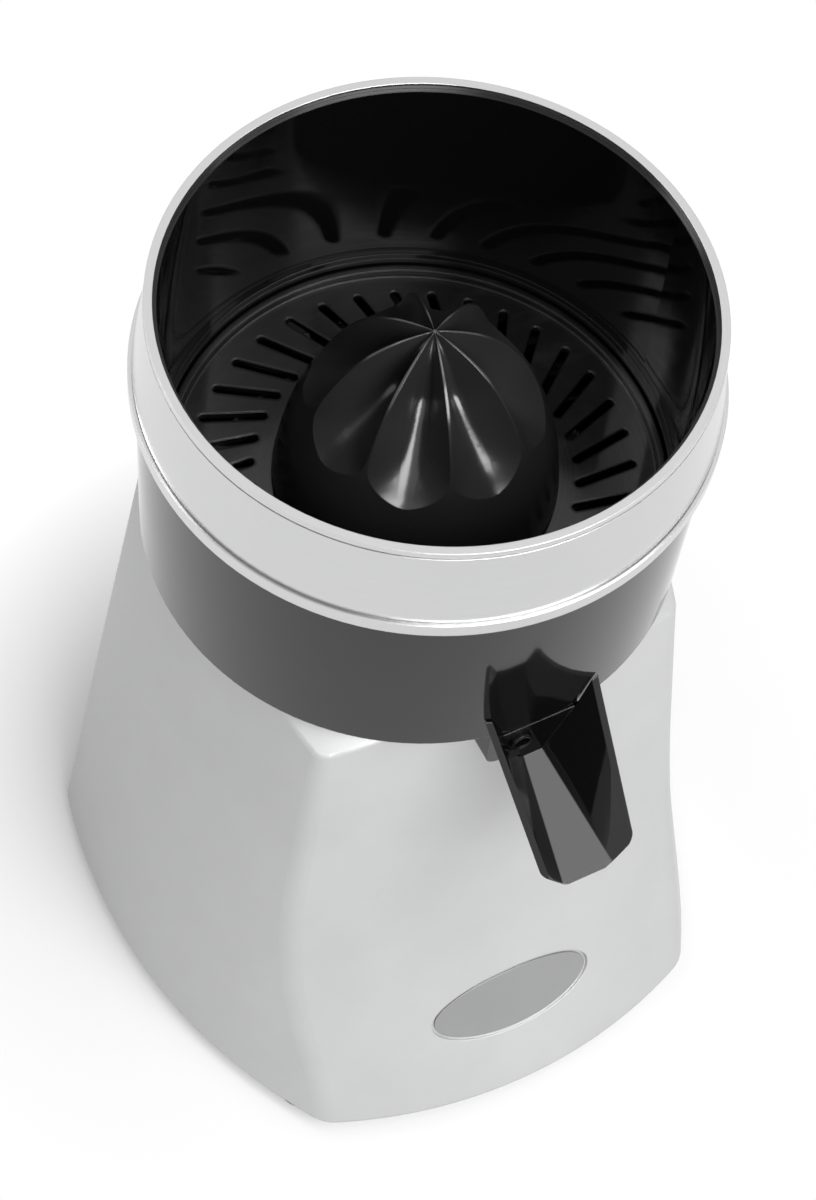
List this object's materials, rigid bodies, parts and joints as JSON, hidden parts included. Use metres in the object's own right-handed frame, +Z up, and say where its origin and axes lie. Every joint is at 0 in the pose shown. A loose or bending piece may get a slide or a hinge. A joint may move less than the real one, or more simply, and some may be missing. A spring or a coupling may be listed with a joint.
{
  "type": "citrus juicer",
  "caption": "Electric citrus juicer: cast motor base, black bowl with a metal splash ring, slotted strainer, ridged reamer on a drive sleeve and an open pull-off spout.",
  "frame": {"origin": "on the table, under the drive axis", "axes": "+Z up along the drive axis, -Y towards the spout"},
  "size_m": [0.2326, 0.2385, 0.35],
  "materials": {
    "cast_aluminium": "satin",
    "badge_metal": "satin",
    "motor_casting": "matte",
    "ring_steel": "brushed",
    "steel": "satin",
    "bearing_steel": "polished",
    "core_steel": "matte",
    "copper": "satin",
    "black_plastic": "gloss",
    "matte_black": "matte",
    "rocker_plastic": "gloss",
    "fan_plastic": "matte",
    "terminal_plastic": "matte",
    "capacitor_case": "satin",
    "rubber": "matte"
  },
  "bodies": {
    "base": {"base_housing": "cast_aluminium", "badge_plate": "badge_metal", "base_plate": "steel", "foot_front_left": "rubber", "foot_front_right": "rubber", "foot_back_left": "rubber", "foot_back_right": "rubber", "foot_screws": "steel", "stator_core": "core_steel", "stator_windings": "copper", "motor_upper_bell": "motor_casting", "motor_lower_bell": "motor_casting", "motor_bolts": "steel", "upper_bearing": "bearing_steel", "lower_bearing": "bearing_steel", "shaft_seal": "rubber", "switch_body": "matte_black", "cable_gland": "matte_black", "gland_nut": "matte_black", "run_capacitor": "capacitor_case", "capacitor_clip": "steel", "terminal_block": "terminal_plastic"},
    "rotor": {"rotor_core": "core_steel", "motor_shaft": "bearing_steel", "cooling_fan": "fan_plastic", "drive_pin": "bearing_steel"},
    "bowl": {"bowl": "black_plastic", "bowl_gasket": "rubber", "splash_ring": "ring_steel"},
    "strainer": {"strainer": "black_plastic"},
    "sleeve": {"drive_sleeve": "bearing_steel"},
    "reamer": {"reamer": "black_plastic"},
    "spout": {"spout": "black_plastic"},
    "rocker": {"switch_rocker": "rocker_plastic"}
  },
  "joints": [
    {"name": "motor_spin", "type": "hinge", "parent": "base", "child": "rotor", "pos_m": [0, 0, 0.151], "axis": [0, 0, 1], "continuous": true},
    {"name": "bowl_lift", "type": "slide", "parent": "base", "child": "bowl", "axis": [0, 0, 1], "range_m": [0, 0.09]},
    {"name": "strainer_lift", "type": "slide", "parent": "bowl", "child": "strainer", "axis": [0, 0, 1], "range_m": [0, 0.11]},
    {"name": "sleeve_spin", "type": "hinge", "parent": "strainer", "child": "sleeve", "pos_m": [0, 0, 0.292], "axis": [0, 0, 1], "continuous": true},
    {"name": "reamer_lift", "type": "slide", "parent": "sleeve", "child": "reamer", "axis": [0, 0, 1], "range_m": [0, 0.06]},
    {"name": "spout_pull", "type": "slide", "parent": "bowl", "child": "spout", "axis": [0, -1, 0], "range_m": [0, 0.03]},
    {"name": "switch_tilt", "type": "hinge", "parent": "base", "child": "rocker", "pos_m": [0, 0.07787, 0.054], "axis": [1, 0, 0], "range_deg": [0, 18]}
  ],
  "couplings": [
    {"joint": "sleeve_spin", "follows": "motor_spin", "ratio": 1}
  ]
}
